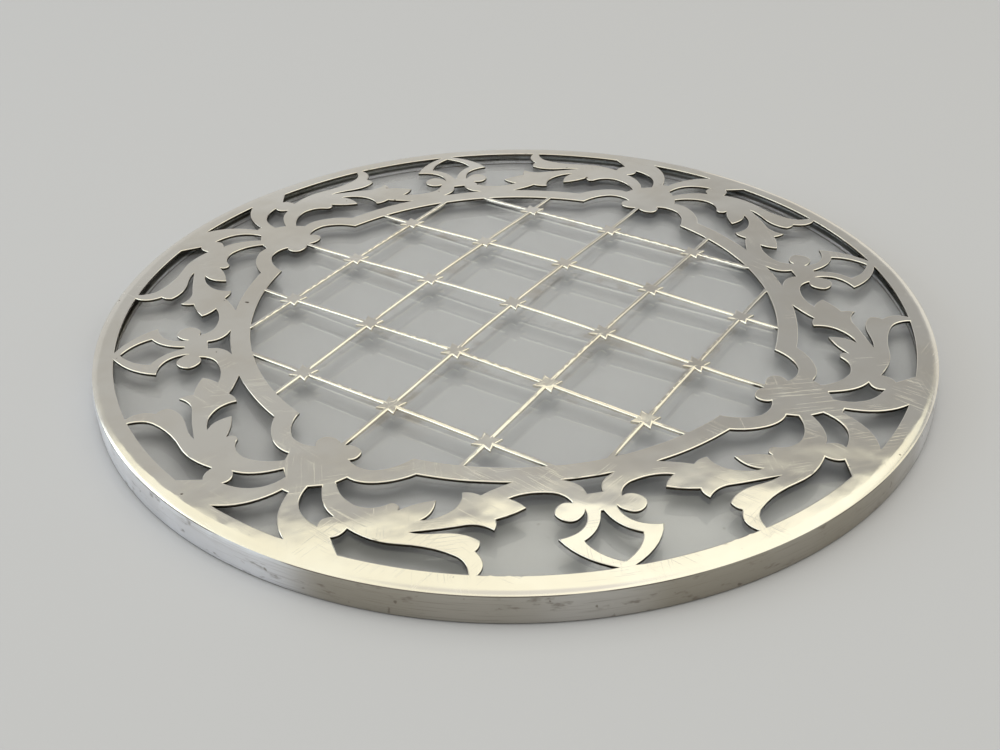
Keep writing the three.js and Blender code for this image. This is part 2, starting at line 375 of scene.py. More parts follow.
def makeWornSilver(look):
    material, tree, surface = newMaterial("worn_silver")
    place = objectPlace(tree)
    wear = groupNode(tree, handWear, Size=16 * mm, Contrast=0.2)
    streaks, fine, chatter = [marksOf(tree, place, look[name]) for name in ("streaks", "fine", "chatter")]
    chatterPatch = patchesOf(tree, place, look["chatterPatches"])
    pits = patchesOf(tree, place, look["pits"])
    smudges = patchesOf(tree, vecCalc(tree, "MULTIPLY", place, look["smudgeScale"]), look["smudges"])
    height = heightOf(tree, place)
    seamFull = look["fullGrimeAndShadeShare"] * look["seamGrime"]
    seam = fade(tree, height, bandHigh.z - look["seamGrime"], bandHigh.z - seamFull)
    # painted shade: the band darkens over its lowest part, where it meets the floor
    footShade = fade(tree, height, look["footShadeHeight"], look["fullGrimeAndShadeShare"] * look["footShadeHeight"])
    broken = patchesOf(tree, place, look["seamPatches"])
    stain = times(tree, fade(tree, streaks, *look["streakFade"]), look["streakStain"])
    grimeAndShade = calc(tree, "MAXIMUM", times(tree, pits, look["pitGrime"]), stain)
    for more in (times(tree, smudges, look["smudgeGrime"]), times(tree, seam, broken), footShade):
        grimeAndShade = calc(tree, "MAXIMUM", grimeAndShade, more)
    # tarnish patches, set so they also darken the band's front and right as painted shade
    tarnish = patchesOf(tree, sliceAt(tree, place, look["tarnishAndShadeSlice"]), look["tarnishAndShadePatches"])
    colour = mixColour(tree, tarnish, look["colour"], look["tarnish"])
    colour = mixColour(tree, grimeAndShade, colour, look["grimeAndShade"])
    worn = calc(tree, "MULTIPLY_ADD", wear["Smears"], look["wornRoughness"], look["roughness"])
    rough = calc(tree, "MULTIPLY_ADD", stain, look["stainRoughness"], worn)
    worked = calc(tree, "ADD", streaks, times(tree, fine, look["fineShare"]))
    worked = calc(tree, "MULTIPLY_ADD", times(tree, chatter, chatterPatch), look["chatterShare"], worked)
    bump = bumpFrom(tree, calc(tree, "SUBTRACT", worked, pits), look["streakDepth"])
    metal(tree, surface, colour, rough, bump)
    return material


# Clear glass

clearGlass = {
    "colour": (0.90, 0.905, 0.90, 1),
    "dust": (0.70, 0.69, 0.66, 1),
    "dirt": (0.62, 0.55, 0.46, 1),
    "shadow": (0.88, 0.88, 0.87, 1),
    "ior": 1.5,
    "smearRoughness": 0.03,
    "groundRoughness": 0.45,
    "groundEdge": 0.6 * mm,
    "specks": {"noise": (420.0, 2.0, 0.6), "fade": (0.74, 0.80)},
    "dirtPatches": {"noise": (85.0, 4.0, 0.65), "fade": (0.45, 0.70)},
    "dirtReach": 2.0 * mm,  # from the middle of a lattice bar
    "fullDirtShare": 0.4,
    "dirtDepth": 0.5 * mm,
}


def makeClearGlass(look):
    material, tree, surface = newMaterial("clear_glass")
    wear = groupNode(tree, handWear, Size=22 * mm, Contrast=0.2)
    place = objectPlace(tree)
    spread = addNode(tree, "ShaderNodeSeparateXYZ", {0: place}).outputs
    toBar = standRadius
    for share in barOffsetShares:
        for axis in ("X", "Y"):
            offset = calc(tree, "SUBTRACT", calc(tree, "ABSOLUTE", spread[axis]), share * standRadius)
            toBar = calc(tree, "MINIMUM", toBar, calc(tree, "ABSOLUTE", offset))
    out = distanceOut(tree, place)
    inField = calc(tree, "LESS_THAN", out, frameInnerShare * standRadius)
    onTop = calc(tree, "GREATER_THAN", spread["Z"], glassHigh.z - look["dirtDepth"])
    nearBar = fade(tree, toBar, look["dirtReach"], look["fullDirtShare"] * look["dirtReach"])
    dirt = times(tree, nearBar, patchesOf(tree, place, look["dirtPatches"]))
    dirt = times(tree, dirt, times(tree, inField, onTop))
    colour = mixColour(tree, dirt, look["colour"], look["dirt"])
    colour = mixColour(tree, patchesOf(tree, place, look["specks"]), colour, look["dust"])
    smeared = times(tree, wear["Smears"], look["smearRoughness"])
    ground = calc(tree, "GREATER_THAN", out, glassHigh.x - look["groundEdge"])
    rough = calc(tree, "MULTIPLY_ADD", ground, look["groundRoughness"], smeared)
    inputs = {"Transmission Weight": 1.0, "IOR": look["ior"], "Base Color": colour, "Roughness": rough}
    connect(tree, surface, inputs)
    clear = firstOf(tree, "ShaderNodeBsdfTransparent", {"Color": look["shadow"]})
    isShadow = addNode(tree, "ShaderNodeLightPath").outputs["Is Shadow Ray"]
    blend = firstOf(tree, "ShaderNodeMixShader", {0: isShadow, 1: surface.outputs[0], 2: clear})
    feed(tree, tree.nodes["Material Output"].inputs["Surface"], blend)
    return material


# Silver solder, left as it ran

silverSolder = {
    "colour": (0.62, 0.60, 0.56, 1),
    "flux": (0.34, 0.31, 0.27, 1),
    "roughness": 0.42,
    "wornRoughness": 0.2,
    "lumpDepth": 0.03 * mm,
}


def makeSilverSolder(look):
    material, tree, surface = newMaterial("silver_solder")
    wear = groupNode(tree, handWear, Size=4 * mm, Contrast=0.2)
    colour = mixColour(tree, wear["Clouds"], look["colour"], look["flux"])
    rough = calc(tree, "MULTIPLY_ADD", wear["Smears"], look["wornRoughness"], look["roughness"])
    bump = bumpFrom(tree, wear["Clouds"], look["lumpDepth"])
    metal(tree, surface, colour, rough, bump)
    return material


materials = {
    "polished_silver": makePolishedSilver(polishedSilver),
    "worn_silver": makeWornSilver(wornSilver),
    "clear_glass": makeClearGlass(clearGlass),
    "silver_solder": makeSilverSolder(silverSolder),
}
print("stage: materials are ready")


# Growing a piece from a start mesh and a geometry tree

def newObject(name, data):
    thing = bpy.data.objects.new(name, data)
    bpy.context.scene.collection.objects.link(thing)
    return thing


def growPiece(name, mesh, tree, values):  # the tree's own defaults hold for what values leaves out
    piece = newObject(name, mesh)
    shape = piece.modifiers.new("shape", "NODES")
    shape.node_group = tree
    sockets = {item.name: item.identifier for item in tree.interface.items_tree if item.in_out == "INPUT"}
    for label, value in values.items():
        shape[sockets[label]] = value
    shading = piece.modifiers.new("shading", "WEIGHTED_NORMAL")
    shading.keep_sharp = True
    evaluated = piece.evaluated_get(bpy.context.evaluated_depsgraph_get())
    finished = bpy.data.meshes.new_from_object(evaluated)
    piece.modifiers.clear()
    piece.data = finished
    finished.name = name
    print("stage:", name, len(finished.vertices), "points", len(finished.polygons), "faces")
    return piece


def bentOver(tree, angle):
    return calc(tree, "GREATER_THAN", geo(tree, "InputMeshEdgeAngle"), angle)


def welded(tree, geometry, distance):
    return geo(tree, "MergeByDistance", {"Geometry": geometry, "Distance": distance})


def joined(tree, first, second):
    node = addNode(tree, "GeometryNodeJoinGeometry", {0: first})
    feed(tree, node.inputs[0], second)
    return node.outputs[0]


def finishTree(tree, shaped, material, sharpAngle, result, alsoSharp=0.0):  # smooth but for sharp edges
    bent = calc(tree, "MAXIMUM", bentOver(tree, sharpAngle), alsoSharp)
    inputs = {"Geometry": shaped, "Shade Smooth": True}
    smooth = geo(tree, "SetShadeSmooth", inputs, domain="FACE")
    inputs = {"Geometry": smooth, "Selection": bent, "Shade Smooth": False}
    sharp = geo(tree, "SetShadeSmooth", inputs, domain="EDGE")
    real = geo(tree, "RealizeInstances", {"Geometry": sharp})
    dressed = geo(tree, "SetMaterial", {"Geometry": real, "Material": material})
    feed(tree, result, dressed)


# The pierced sheet: one eighth of the pattern is drawn flat, then repeated, thickened and raised

sheetShape = {
    "relief": {  # by the names of the tree's inputs
        "Thickness": 0.6 * mm,
        "Top Softness": 0.21 * mm,
        "Top Depth": 0.12 * mm,
        "Lattice Softness": 0.33 * mm,
        "Lattice Depth": 0.23 * mm,
        "Under Softness": 0.05 * mm,
        "Shoulder": 1.75 * mm,
        "Shoulder Depth": 0.50 * mm,
        "Shoulder Arc": math.radians(60),
        "Waviness": 0.03 * mm,
        "Saw Wobble": 0.10 * mm,
        "Sharp Angle": math.radians(38),
    },
    "barWidth": 0.85 * mm,
    "latticeFade": (0.93, 0.99),  # of the dome's radius
    "steepestMitre": 1.2,  # keeps the points of sharp corners from reaching out too far
    "domeFill": 0.995,
    "wobbleNoise": (95.0, 1.0),
    "freeFade": (0.98, 0.88),  # of the stand's radius: waves and wobble die out towards the edge
    "rimShare": 0.99,  # past this share of the radius a point is on the outer edge
    "longestStep": 2.5 * mm,
    "bendStep": math.radians(6),
    "rimStep": math.radians(1),
    "roundSteps": 6,
    "underSteps": 2,
    "gridStep": 1.6 * mm,
    "gridGap": 0.45 * mm,
    "gridMargin": 1.8 * mm,
    "barOverrunShare": 1.2,  # of the frame's inner radius, which the bars run past
    "flatAngle": math.radians(3),
    "ringLimit": 0.25,  # an edge with more than this share of a ring in it isn't flat
}

# Saw cuts beside a flower head, in shares of the stand's radius: x along the rim, y out through the head.
# Two numbers are a corner, four are a bend point and the corner where that curve ends,
# and a row that ends in "rim" runs round the middle of the stand to its corner.
fanHalfShares = [
    (0, 0.835),
    (0.008, 0.835),
    (0.029, 0.915, 0.093, 0.9454),
    (0, 0.95, "rim"),
]
stemCutShares = [
    (0.029, 0.801),
    (0.051, 0.783),
    (0.0885, 0.8375, 0.132, 0.844),
    (0.109, 0.862, 0.122, 0.883),
    (0.04, 0.877, 0.029, 0.801),
]
ringCutShares = [
    (0.164, 0.895),
    (0.208, 0.925),
    (0.4395, 0.842, "rim"),
    (0.421, 0.814, 0.392, 0.813),
    (0.34, 0.813, 0.282, 0.843),
    (0.235, 0.867, 0.175, 0.858),
    (0.179, 0.884, 0.164, 0.895),
]
leafCutShares = [
    (0.068, 0.76),
    (0.101, 0.795, 0.146, 0.797),
    (0.187, 0.792, 0.199, 0.757),
    (0.21, 0.747, 0.222, 0.757),
    (0.225, 0.766),
    (0.238, 0.731, 0.269, 0.702),
    (0.292, 0.738, 0.277, 0.768),
    (0.307, 0.746, 0.314, 0.705),
    (0.316, 0.676, 0.299, 0.656),
    (0.311, 0.643, 0.335, 0.643),
    (0.342, 0.618, 0.366, 0.577),
    (0.188, 0.6565, "rim"),
    (0.172, 0.693, 0.14, 0.718),
    (0.108, 0.742, 0.077, 0.737),
    (0.068, 0.76),
]
sideCutShares = [
    (0.455, 0.834),
    (0.456, 0.795, 0.415, 0.783),
    (0.418, 0.769, 0.408, 0.755),
    (0.371, 0.747, 0.33, 0.778),
    (0.304, 0.799, 0.278, 0.807),
    (0.331, 0.762, 0.36, 0.731),
    (0.383, 0.711, 0.414, 0.716),
    (0.411, 0.698, 0.399, 0.688),
    (0.419, 0.661, 0.43, 0.629),
    (0.412, 0.62, 0.386, 0.624),
    (0.404, 0.585, 0.45, 0.563),
    (0.476, 0.553, 0.499, 0.569),
    (0.478, 0.575, 0.479, 0.598),
    (0.48, 0.622, 0.506, 0.623),
    (0.532, 0.622, 0.533, 0.596),
    (0.534, 0.58, 0.528, 0.572),
    (0.575, 0.62, 0.529, 0.675),
    (0.592, 0.703, 0.662, 0.6815),
    (0.455, 0.834, "rim"),
]

# The edge of the lattice field from the middle of a flower head to the cusp beside it
headEdgeShares = [
    (0, 0.666),
    (0.004, 0.65, 0.028, 0.648),
    (0.053, 0.648, 0.054, 0.669),
    (0.055, 0.683, 0.045, 0.69),
    (0.072, 0.706, 0.106, 0.692),
    (0.142, 0.668, 0.152, 0.6176),
]

# Saw cuts on a buckle's own middle line, read in the same way with y outwards through the buckle
footHalfShares = [
    (0, 0.683),
    (0.055, 0.6808, "rim"),
    (0.015, 0.697, 0.016, 0.735),
    (0, 0.735),
]
buckleHalfShares = [
    (0, 0.936),
    (0.045, 0.909, 0.057, 0.8655),
    (0.014, 0.842, 0.003, 0.789),
    (0, 0.789),
]

# Flat outlines are drawn in millimetres, where the fill has the precision that it needs
flatRadius = standRadius / mm
rimRadius = flatRadius - bandLean / mm
flatStep = sheetShape["longestStep"] / mm
barHalf = sheetShape["barWidth"] / mm / 2
sameSpot = 1e-4
eighthTurn = math.pi / 4


def cornerPoint(x, y):
    return Vector((x, y)) * flatRadius


def pointAtAngle(radius, angle):
    return Vector((math.cos(angle), math.sin(angle))) * radius


def angleOf(point):
    return math.atan2(point.y, point.x)


def straightPoints(start, end):
    steps = max(1, math.ceil((end - start).length / flatStep))
    return [start.lerp(end, step / steps) for step in range(1, steps + 1)]


def bendPoints(start, bend, end):
    turn = (bend - start).angle(end - bend)
    longWay = ((bend - start).length + (end - bend).length) / flatStep
    steps = max(2, math.ceil(turn / sheetShape["bendStep"]), math.ceil(longWay))
    ways = [step / steps for step in range(1, steps + 1)]
    return [start.lerp(bend, way).lerp(bend.lerp(end, way), way) for way in ways]


def rimPoints(start, end):
    sweep = angleOf(end) - angleOf(start)
    steps = max(1, math.ceil(abs(sweep) / sheetShape["rimStep"]))
    points = []
    for step in range(1, steps + 1):
        way = step / steps
        radius = start.length + (end.length - start.length) * way
        points.append(pointAtAngle(radius, angleOf(start) + sweep * way))
    return points


def traceOutline(rows):
    points = [cornerPoint(*rows[0][:2])]
    for row in rows[1:]:
        start = points[-1]
        if row[-1] == "rim":
            points += rimPoints(start, cornerPoint(*row[:2]))
        elif len(row) == 4:
            points += bendPoints(start, cornerPoint(*row[:2]), cornerPoint(*row[2:]))
        else:
            points += straightPoints(start, cornerPoint(*row))
    return points


def atBuckle(points):  # from a buckle's own middle line, on its flower head's side, to the diagonal
    mirrored = [Vector((-point.x, point.y)) for point in points]
    return [Matrix.Rotation(-eighthTurn, 2) @ point for point in mirrored]


def closedRun(corners):
    points = []
    for start, end in zip(corners, corners[1:] + corners[:1]):
        points += straightPoints(start, end)
    return points


def starOutline(centre):
    tip, neck = starTipShare * flatRadius, starNeckShare * flatRadius
    arm = [Vector(corner) for corner in ((barHalf, neck), (tip, tip), (neck, barHalf))]
    corners = []
    for quarter in range(4):
        turn = Matrix.Rotation(-quarter * math.pi / 2, 2)
        corners += [turn @ corner + centre for corner in arm]
    return closedRun(corners)


def barOutlines():
    reach = frameInnerShare * flatRadius * sheetShape["barOverrunShare"]
    bars = []
    for share in barOffsetShares:
        left, right = share * flatRadius - barHalf, share * flatRadius + barHalf
        corners = [(left, -barHalf), (right, -barHalf), (right, reach), (left, reach)]
        bars.append(closedRun([Vector(corner) for corner in corners]))
        bars.append(closedRun([Vector(corner).yx for corner in reversed(corners)]))
    return bars


def starOutlines():
    offsets = [share * flatRadius for share in barOffsetShares]
    crossings = [Vector((x, y)) for y in offsets for x in offsets]
    return [starOutline(centre) for centre in crossings if centre.length < frameInnerShare * flatRadius]


def wedgeOutline():
    start = pointAtAngle(rimRadius, math.pi / 2)
    end = pointAtAngle(rimRadius, eighthTurn)
    middle = Vector((0, 0))
    return straightPoints(middle, start) + rimPoints(start, end) + straightPoints(end, middle)


def fieldOutline():
    edge = traceOutline(headEdgeShares)
    diagonal = pointAtAngle(frameInnerShare * flatRadius, eighthTurn)
    middle = Vector((0, 0))
    edge += rimPoints(edge[-1], diagonal)
    return edge + straightPoints(diagonal, middle) + straightPoints(middle, edge[0])[:-1]


def cutOutlines():
    headCuts = [fanHalfShares, stemCutShares, ringCutShares, leafCutShares, sideCutShares]
    cuts = [traceOutline(rows) for rows in headCuts]
    return cuts + [atBuckle(traceOutline(rows)) for rows in (footHalfShares, buckleHalfShares)]


def anticlockwise(outline):
    doubleArea = sum(p.cross(q) for p, q in zip(outline, outline[1:] + outline[:1]))
    return outline if doubleArea > 0 else outline[::-1]


def gridPoints(outlinePoints):  # an even scatter of points inside the wedge, clear of every outline
    near = KDTree(len(outlinePoints))
    for index, point in enumerate(outlinePoints):
        near.insert(point.to_3d(), index)
    near.balance()
    step, gap = sheetShape["gridStep"] / mm, sheetShape["gridGap"] / mm
    outermost = rimRadius - sheetShape["gridMargin"] / mm
    rowStep = step * math.sqrt(0.75)  # rows of even triangles
    points = []
    for row in range(1, int(flatRadius / rowStep)):
        for column in range(1, int(flatRadius / step)):
            point = Vector(((column + row % 2 / 2) * step, row * rowStep))
            inside = point.length < outermost and point.x < point.y - gap
            if inside and near.find(point.to_3d())[2] > gap:
                points.append(point)
    return points


def drawEighth():
    groups = {"wedge": [wedgeOutline()], "cut": cutOutlines(), "field": [fieldOutline()]}
    groups["lattice"] = barOutlines() + starOutlines()
    points, faces, kinds = [], [], []
    for kind, outlines in groups.items():
        for outline in outlines:
            following = outline[1:] + outline[:1]
            kept = anticlockwise([p for p, q in zip(outline, following) if (q - p).length > sameSpot])
            faces.append(list(range(len(points), len(points) + len(kept))))
            points += kept
            kinds.append(kind)
    points += gridPoints(points)
    filled = delaunay_2d_cdt(points, [], faces, 0, sameSpot, True)
    corners, triangles, origins = filled[0], filled[2], filled[5]
    kept = []
    for triangle, origin in zip(triangles, origins):
        covers = {kinds[index] for index in origin}
        sawnOut = "cut" in covers or ("field" in covers and "lattice" not in covers)
        if "wedge" in covers and not sawnOut:
            kept.append(triangle)
    used = sorted({index for triangle in kept for index in triangle})
    place = {old: new for new, old in enumerate(used)}
    mesh = bpy.data.meshes.new("sheetEighth")
    flat = [(corners[index].x * mm, corners[index].y * mm, 0) for index in used]
    mesh.from_pydata(flat, [], [[place[index] for index in triangle] for triangle in kept])
    return mesh


sheetTop = bandHigh.z + sheetShape["relief"]["Thickness"]
sheetValues = {
    **sheetShape["relief"],
    "Top Height": sheetTop,
    "Stand Radius": standRadius,
    "Dome Radius": domeShare * standRadius,
    "Dome Rise": (sheetHigh.z - sheetTop) * sheetShape["domeFill"],
    "Weld Distance": weldDistance,
}


def makeSheetTree(values):
    inputs = {"Eighth": geometrySocket, **values, "Material": materialSocket}
    tree, given, result = newTree("piercedSheet", "GeometryNodeTree", inputs, {"Sheet": geometrySocket})
    weld = given["Weld Distance"]

    # Mirror the eighth, then turn the quarter four times about the middle
    mirror = geo(tree, "Transform", {"Geometry": given["Eighth"], "Scale": (-1, 1, 1)})
    quarter = joined(tree, given["Eighth"], geo(tree, "FlipFaces", {"Mesh": mirror}))
    turns = geo(tree, "Points", {"Count": 4})
    rotation = upBy(tree, times(tree, geo(tree, "InputIndex"), math.pi / 2))
    inputs = {"Points": turns, "Instance": quarter, "Rotation": rotation}
    quarters = geo(tree, "InstanceOnPoints", inputs)
    flat = welded(tree, geo(tree, "RealizeInstances", {0: quarters}), weld)

    # The way out of the metal at each point of a cut, so long that both edges beside it move by one unit
    faceCount = tree.nodes.new("GeometryNodeInputMeshEdgeNeighbors").outputs["Face Count"]
    openEdge = calc(tree, "LESS_THAN", faceCount, 1.5)  # an edge with one face
    edge = tree.nodes.new("GeometryNodeInputMeshEdgeVertices")
    along = vecCalc(tree, "SUBTRACT", edge.outputs["Position 2"], edge.outputs["Position 1"])
    side = vecCalc(tree, "NORMALIZE", vecCalc(tree, "CROSS_PRODUCT", along, (0, 0, 1)))
    corner = tree.nodes.new("GeometryNodeCornersOfEdge").outputs["Corner Index"]
    face = addNode(tree, "GeometryNodeFaceOfCorner", {"Corner Index": corner}).outputs["Face Index"]
    position = geo(tree, "InputPosition")

    def valueAt(value, where, domain, kind="FLOAT_VECTOR"):
        node = addNode(tree, "GeometryNodeFieldAtIndex", domain=domain, data_type=kind)
        return connect(tree, node, {"Value": value, "Index": where}).outputs[0]

    away = vecCalc(tree, "SUBTRACT", edge.outputs["Position 1"], valueAt(position, face, "FACE"))
    sign = calc(tree, "SIGN", vecCalc(tree, "DOT_PRODUCT", away, side))
    edgeOut = vecCalc(tree, "SCALE", side, sign)
    atPoint = []
    for place in (0, 1):
        inputs = {"Weights": faceCount, "Sort Index": place}
        atPoint.append(addNode(tree, "GeometryNodeEdgesOfVertex", inputs).outputs["Edge Index"])
    isOpen = valueAt(openEdge, atPoint[0], "EDGE", "FLOAT")
    both = vecCalc(tree, "ADD", *[valueAt(edgeOut, where, "EDGE") for where in atPoint])
    spread = calc(tree, "MAXIMUM", vecCalc(tree, "DOT_PRODUCT", both, both), sheetShape["steepestMitre"])
    outward = vecCalc(tree, "SCALE", both, times(tree, calc(tree, "DIVIDE", 2.0, spread), isOpen))

    def store(source, name, value, kind="FLOAT_VECTOR", selection=True):
        inputs = {"Geometry": source, "Name": name, "Value": value, "Selection": selection}
        return geo(tree, "StoreNamedAttribute", inputs, data_type=kind, domain="POINT")

    def stored(name, kind="FLOAT_VECTOR"):
        return geo(tree, "InputNamedAttribute", {"Name": name}, data_type=kind)

    out = vecCalc(tree, "LENGTH", position)
    atRim = calc(tree, "GREATER_THAN", out, times(tree, given["Stand Radius"], sheetShape["rimShare"]))
    share = calc(tree, "DIVIDE", out, given["Dome Radius"])

    def byPlace(onLattice, onBorder, onRim):
        size = fade(tree, share, *sheetShape["latticeFade"], onLattice, onBorder, "LINEAR")
        return calc(tree, "MULTIPLY_ADD", calc(tree, "SUBTRACT", onRim, size), atRim, size)

    flat = store(flat, "outward", outward)
    flat = store(flat, "spot", position)
    sizes = {
        "softness": byPlace(given["Lattice Softness"], given["Top Softness"], given["Shoulder"]),
        "depth": byPlace(given["Lattice Depth"], given["Top Depth"], given["Shoulder Depth"]),
        "arc": byPlace(math.pi / 2, math.pi / 2, given["Shoulder Arc"]),
        "ring": 0.0,
    }
    for name, value in sizes.items():
        flat = store(flat, name, value, "FLOAT")
    outward, spot = stored("outward"), stored("spot")
    softness, depth, arc = stored("softness", "FLOAT"), stored("depth", "FLOAT"), stored("arc", "FLOAT")

    def moved(source, inset, drop, selection=True):  # in from the outline and down from the top
        inwards = vecCalc(tree, "SCALE", outward, times(tree, inset, -1.0))
        down = upBy(tree, times(tree, drop, -1.0))
        where = vecCalc(tree, "ADD", vecCalc(tree, "ADD", spot, inwards), down)
        inputs = {"Geometry": source, "Position": where, "Selection": selection}
        return geo(tree, "SetPosition", inputs)

    # The rounded upper edge, the sawn wall and the narrow round below it, each a ring of new faces
    def fallAt(angle):
        return calc(tree, "SUBTRACT", 1.0, calc(tree, "COSINE", angle))

    rings = []
    roundSteps, underSteps = sheetShape["roundSteps"], sheetShape["underSteps"]
    fullReach, fullFall = calc(tree, "SINE", arc), fallAt(arc)
    for step in range(1, roundSteps + 1):
        angle = times(tree, arc, step / roundSteps)
        reached = calc(tree, "DIVIDE", calc(tree, "SINE", angle), fullReach)
        fallen = calc(tree, "DIVIDE", fallAt(angle), fullFall)
        inset = times(tree, softness, calc(tree, "SUBTRACT", 1.0, reached))
        rings.append((inset, times(tree, depth, fallen)))
    for step in range(underSteps + 1):
        angle = step * math.pi / 2 / underSteps
        inset = times(tree, given["Under Softness"], 1 - math.cos(angle))
        lift = times(tree, given["Under Softness"], 1 - math.sin(angle))
        rings.append((inset, calc(tree, "SUBTRACT", given["Thickness"], lift)))
    skin = moved(flat, softness, 0.0)
    selection = openEdge
    for inset, drop in rings:
        inputs = {"Mesh": skin, "Selection": selection, "Offset Scale": 0.0}
        grown = addNode(tree, "GeometryNodeExtrudeMesh", inputs, mode="EDGES")
        selection = grown.outputs["Top"]
        skin = moved(grown.outputs["Mesh"], inset, drop, selection)
        skin = store(skin, "ring", 1.0, "FLOAT", selection)
    under = moved(flat, given["Under Softness"], given["Thickness"])
    under = geo(tree, "FlipFaces", {"Mesh": under})
    body = welded(tree, joined(tree, skin, under), weld)

    # Raise the lattice, and let the hand-worked metal wander a little
    out = vecCalc(tree, "LENGTH", spot)
    reach = calc(tree, "DIVIDE", out, given["Dome Radius"])
    inner = calc(tree, "MAXIMUM", calc(tree, "SUBTRACT", 1.0, times(tree, reach, reach)), 0.0)
    dome = times(tree, given["Dome Rise"], times(tree, inner, inner))
    free = fade(tree, calc(tree, "DIVIDE", out, given["Stand Radius"]), *sheetShape["freeFade"])
    lift = times(tree, noiseAt(tree, spot, *unevenNoise), -1.0)
    waves = times(tree, times(tree, lift, given["Waviness"]), free)
    wander = noiseAt(tree, spot, *sheetShape["wobbleNoise"], output="Color")
    wander = vecCalc(tree, "SUBTRACT", wander, (0.5, 0.5, 0.5))  # the middle of the noise
    wander = vecCalc(tree, "MULTIPLY", wander, (1, 1, 0))
    wobble = times(tree, times(tree, given["Saw Wobble"], 2.0), free)
    height = calc(tree, "ADD", calc(tree, "ADD", dome, waves), given["Top Height"])
    offset = vecCalc(tree, "ADD", vecCalc(tree, "SCALE", wander, wobble), upBy(tree, height))
    raised = geo(tree, "SetPosition", {"Geometry": body, "Offset": offset})
    onFlat = calc(tree, "LESS_THAN", stored("ring", "FLOAT"), sheetShape["ringLimit"])
    flatEdge = times(tree, onFlat, bentOver(tree, sheetShape["flatAngle"]))
    finishTree(tree, raised, given["Material"], given["Sharp Angle"], result["Sheet"], flatEdge)
    return tree


silver = {"Material": materials["polished_silver"]}
piercedSheet = growPiece("pierced_sheet", drawEighth(), makeSheetTree(sheetValues), silver)


# The band, the glass and the solder are turned from a section whose corners are radius, height, softness

turnedShape = {
    "segments": 360,
    "cornerSteps": 6,
    "dentNoise": (3.5, 3.0),
    "sharpAngle": math.radians(38),
}

bandShape = {
    "lipReach": 2.4 * mm,
    "footRound": 0.5 * mm,
    "waist": 4.75 * mm,
    "waistSoftness": 0.86 * mm,
    "edgeSoftness": 0.10 * mm,
    "innerSoftness": 0.05 * mm,
    "unevenness": 0.03 * mm,
}

glassShape = {
    "bevel": 0.5 * mm,
    "bevelSoftness": 0.12 * mm,
}

solderShape = {
    "hollow": 0.06 * mm,
    "unevenness": 0.02 * mm,
}


def roundedSection(corners, closed):  # each corner that has a softness becomes a small curve
    points = []
    for index, (radius, height, softness) in enumerate(corners):
        corner = Vector((radius, height))
        if softness == 0:
            points.append(corner)
            continue
        before = Vector(corners[index - 1][:2])
        after = Vector(corners[(index + 1) % len(corners)][:2])
        start = corner + (before - corner).normalized() * softness
        end = corner + (after - corner).normalized() * softness
        for step in range(turnedShape["cornerSteps"] + 1):
            way = step / turnedShape["cornerSteps"]
            points.append(start.lerp(corner, way).lerp(corner.lerp(end, way), way))
    if closed:
        points.append(points[0].copy())
    return points


def sectionMesh(points):
    mesh = bpy.data.meshes.new("section")
    links = [(index, index + 1) for index in range(len(points) - 1)]
    mesh.from_pydata([(point.x, 0, point.y) for point in points], links, [])
    return mesh


def makeTurnedTree():
    inputs = {
        "Section": geometrySocket,
        "Section Points": 8,
        "Segments": turnedShape["segments"],
        "Unevenness": 0.0,
        "Sharp Angle": turnedShape["sharpAngle"],
        "Weld Distance": weldDistance,
        "Material": materialSocket,
    }
    tree, given, result = newTree("turnedBody", "GeometryNodeTree", inputs, {"Body": geometrySocket})
    perRing = given["Section Points"]
    inputs = {"Vertices X": calc(tree, "ADD", given["Segments"], 1), "Vertices Y": perRing}
    grid = geo(tree, "MeshGrid", inputs)
    index = geo(tree, "InputIndex")
    ring = calc(tree, "FLOOR", calc(tree, "DIVIDE", calc(tree, "ADD", index, 0.5), perRing))
    inSection = calc(tree, "SUBTRACT", index, times(tree, ring, perRing))
    position = geo(tree, "InputPosition")
    sample = addNode(tree, "GeometryNodeSampleIndex", data_type="FLOAT_VECTOR", domain="POINT")
    inputs = {"Geometry": given["Section"], "Index": inSection, "Value": position}
    corner = connect(tree, sample, inputs).outputs[0]
    section = addNode(tree, "ShaderNodeSeparateXYZ", {0: corner}).outputs
    wrapped = calc(tree, "MODULO", ring, given["Segments"])  # the last ring lies on the first
    angle = times(tree, calc(tree, "DIVIDE", wrapped, given["Segments"]), math.tau)
    inputs = {"X": calc(tree, "COSINE", angle), "Y": calc(tree, "SINE", angle)}
    around = firstOf(tree, "ShaderNodeCombineXYZ", inputs)
    dents = times(tree, noiseAt(tree, around, *turnedShape["dentNoise"]), given["Unevenness"])
    radius = calc(tree, "MAXIMUM", calc(tree, "SUBTRACT", section["X"], dents), 0.0)
    where = vecCalc(tree, "ADD", vecCalc(tree, "SCALE", around, radius), upBy(tree, section["Z"]))
    turned = geo(tree, "SetPosition", {"Geometry": grid, "Position": where})
    body = welded(tree, turned, given["Weld Distance"])
    finishTree(tree, body, given["Material"], given["Sharp Angle"], result["Body"])
    return tree


turnedTree = makeTurnedTree()


def turnPiece(name, material, corners, closed=True, unevenness=0.0):
    points = roundedSection(corners, closed)
    return growPiece(name, sectionMesh(points), turnedTree, {
        "Section Points": len(points),
        "Unevenness": unevenness,
        "Material": materials[material],
    })


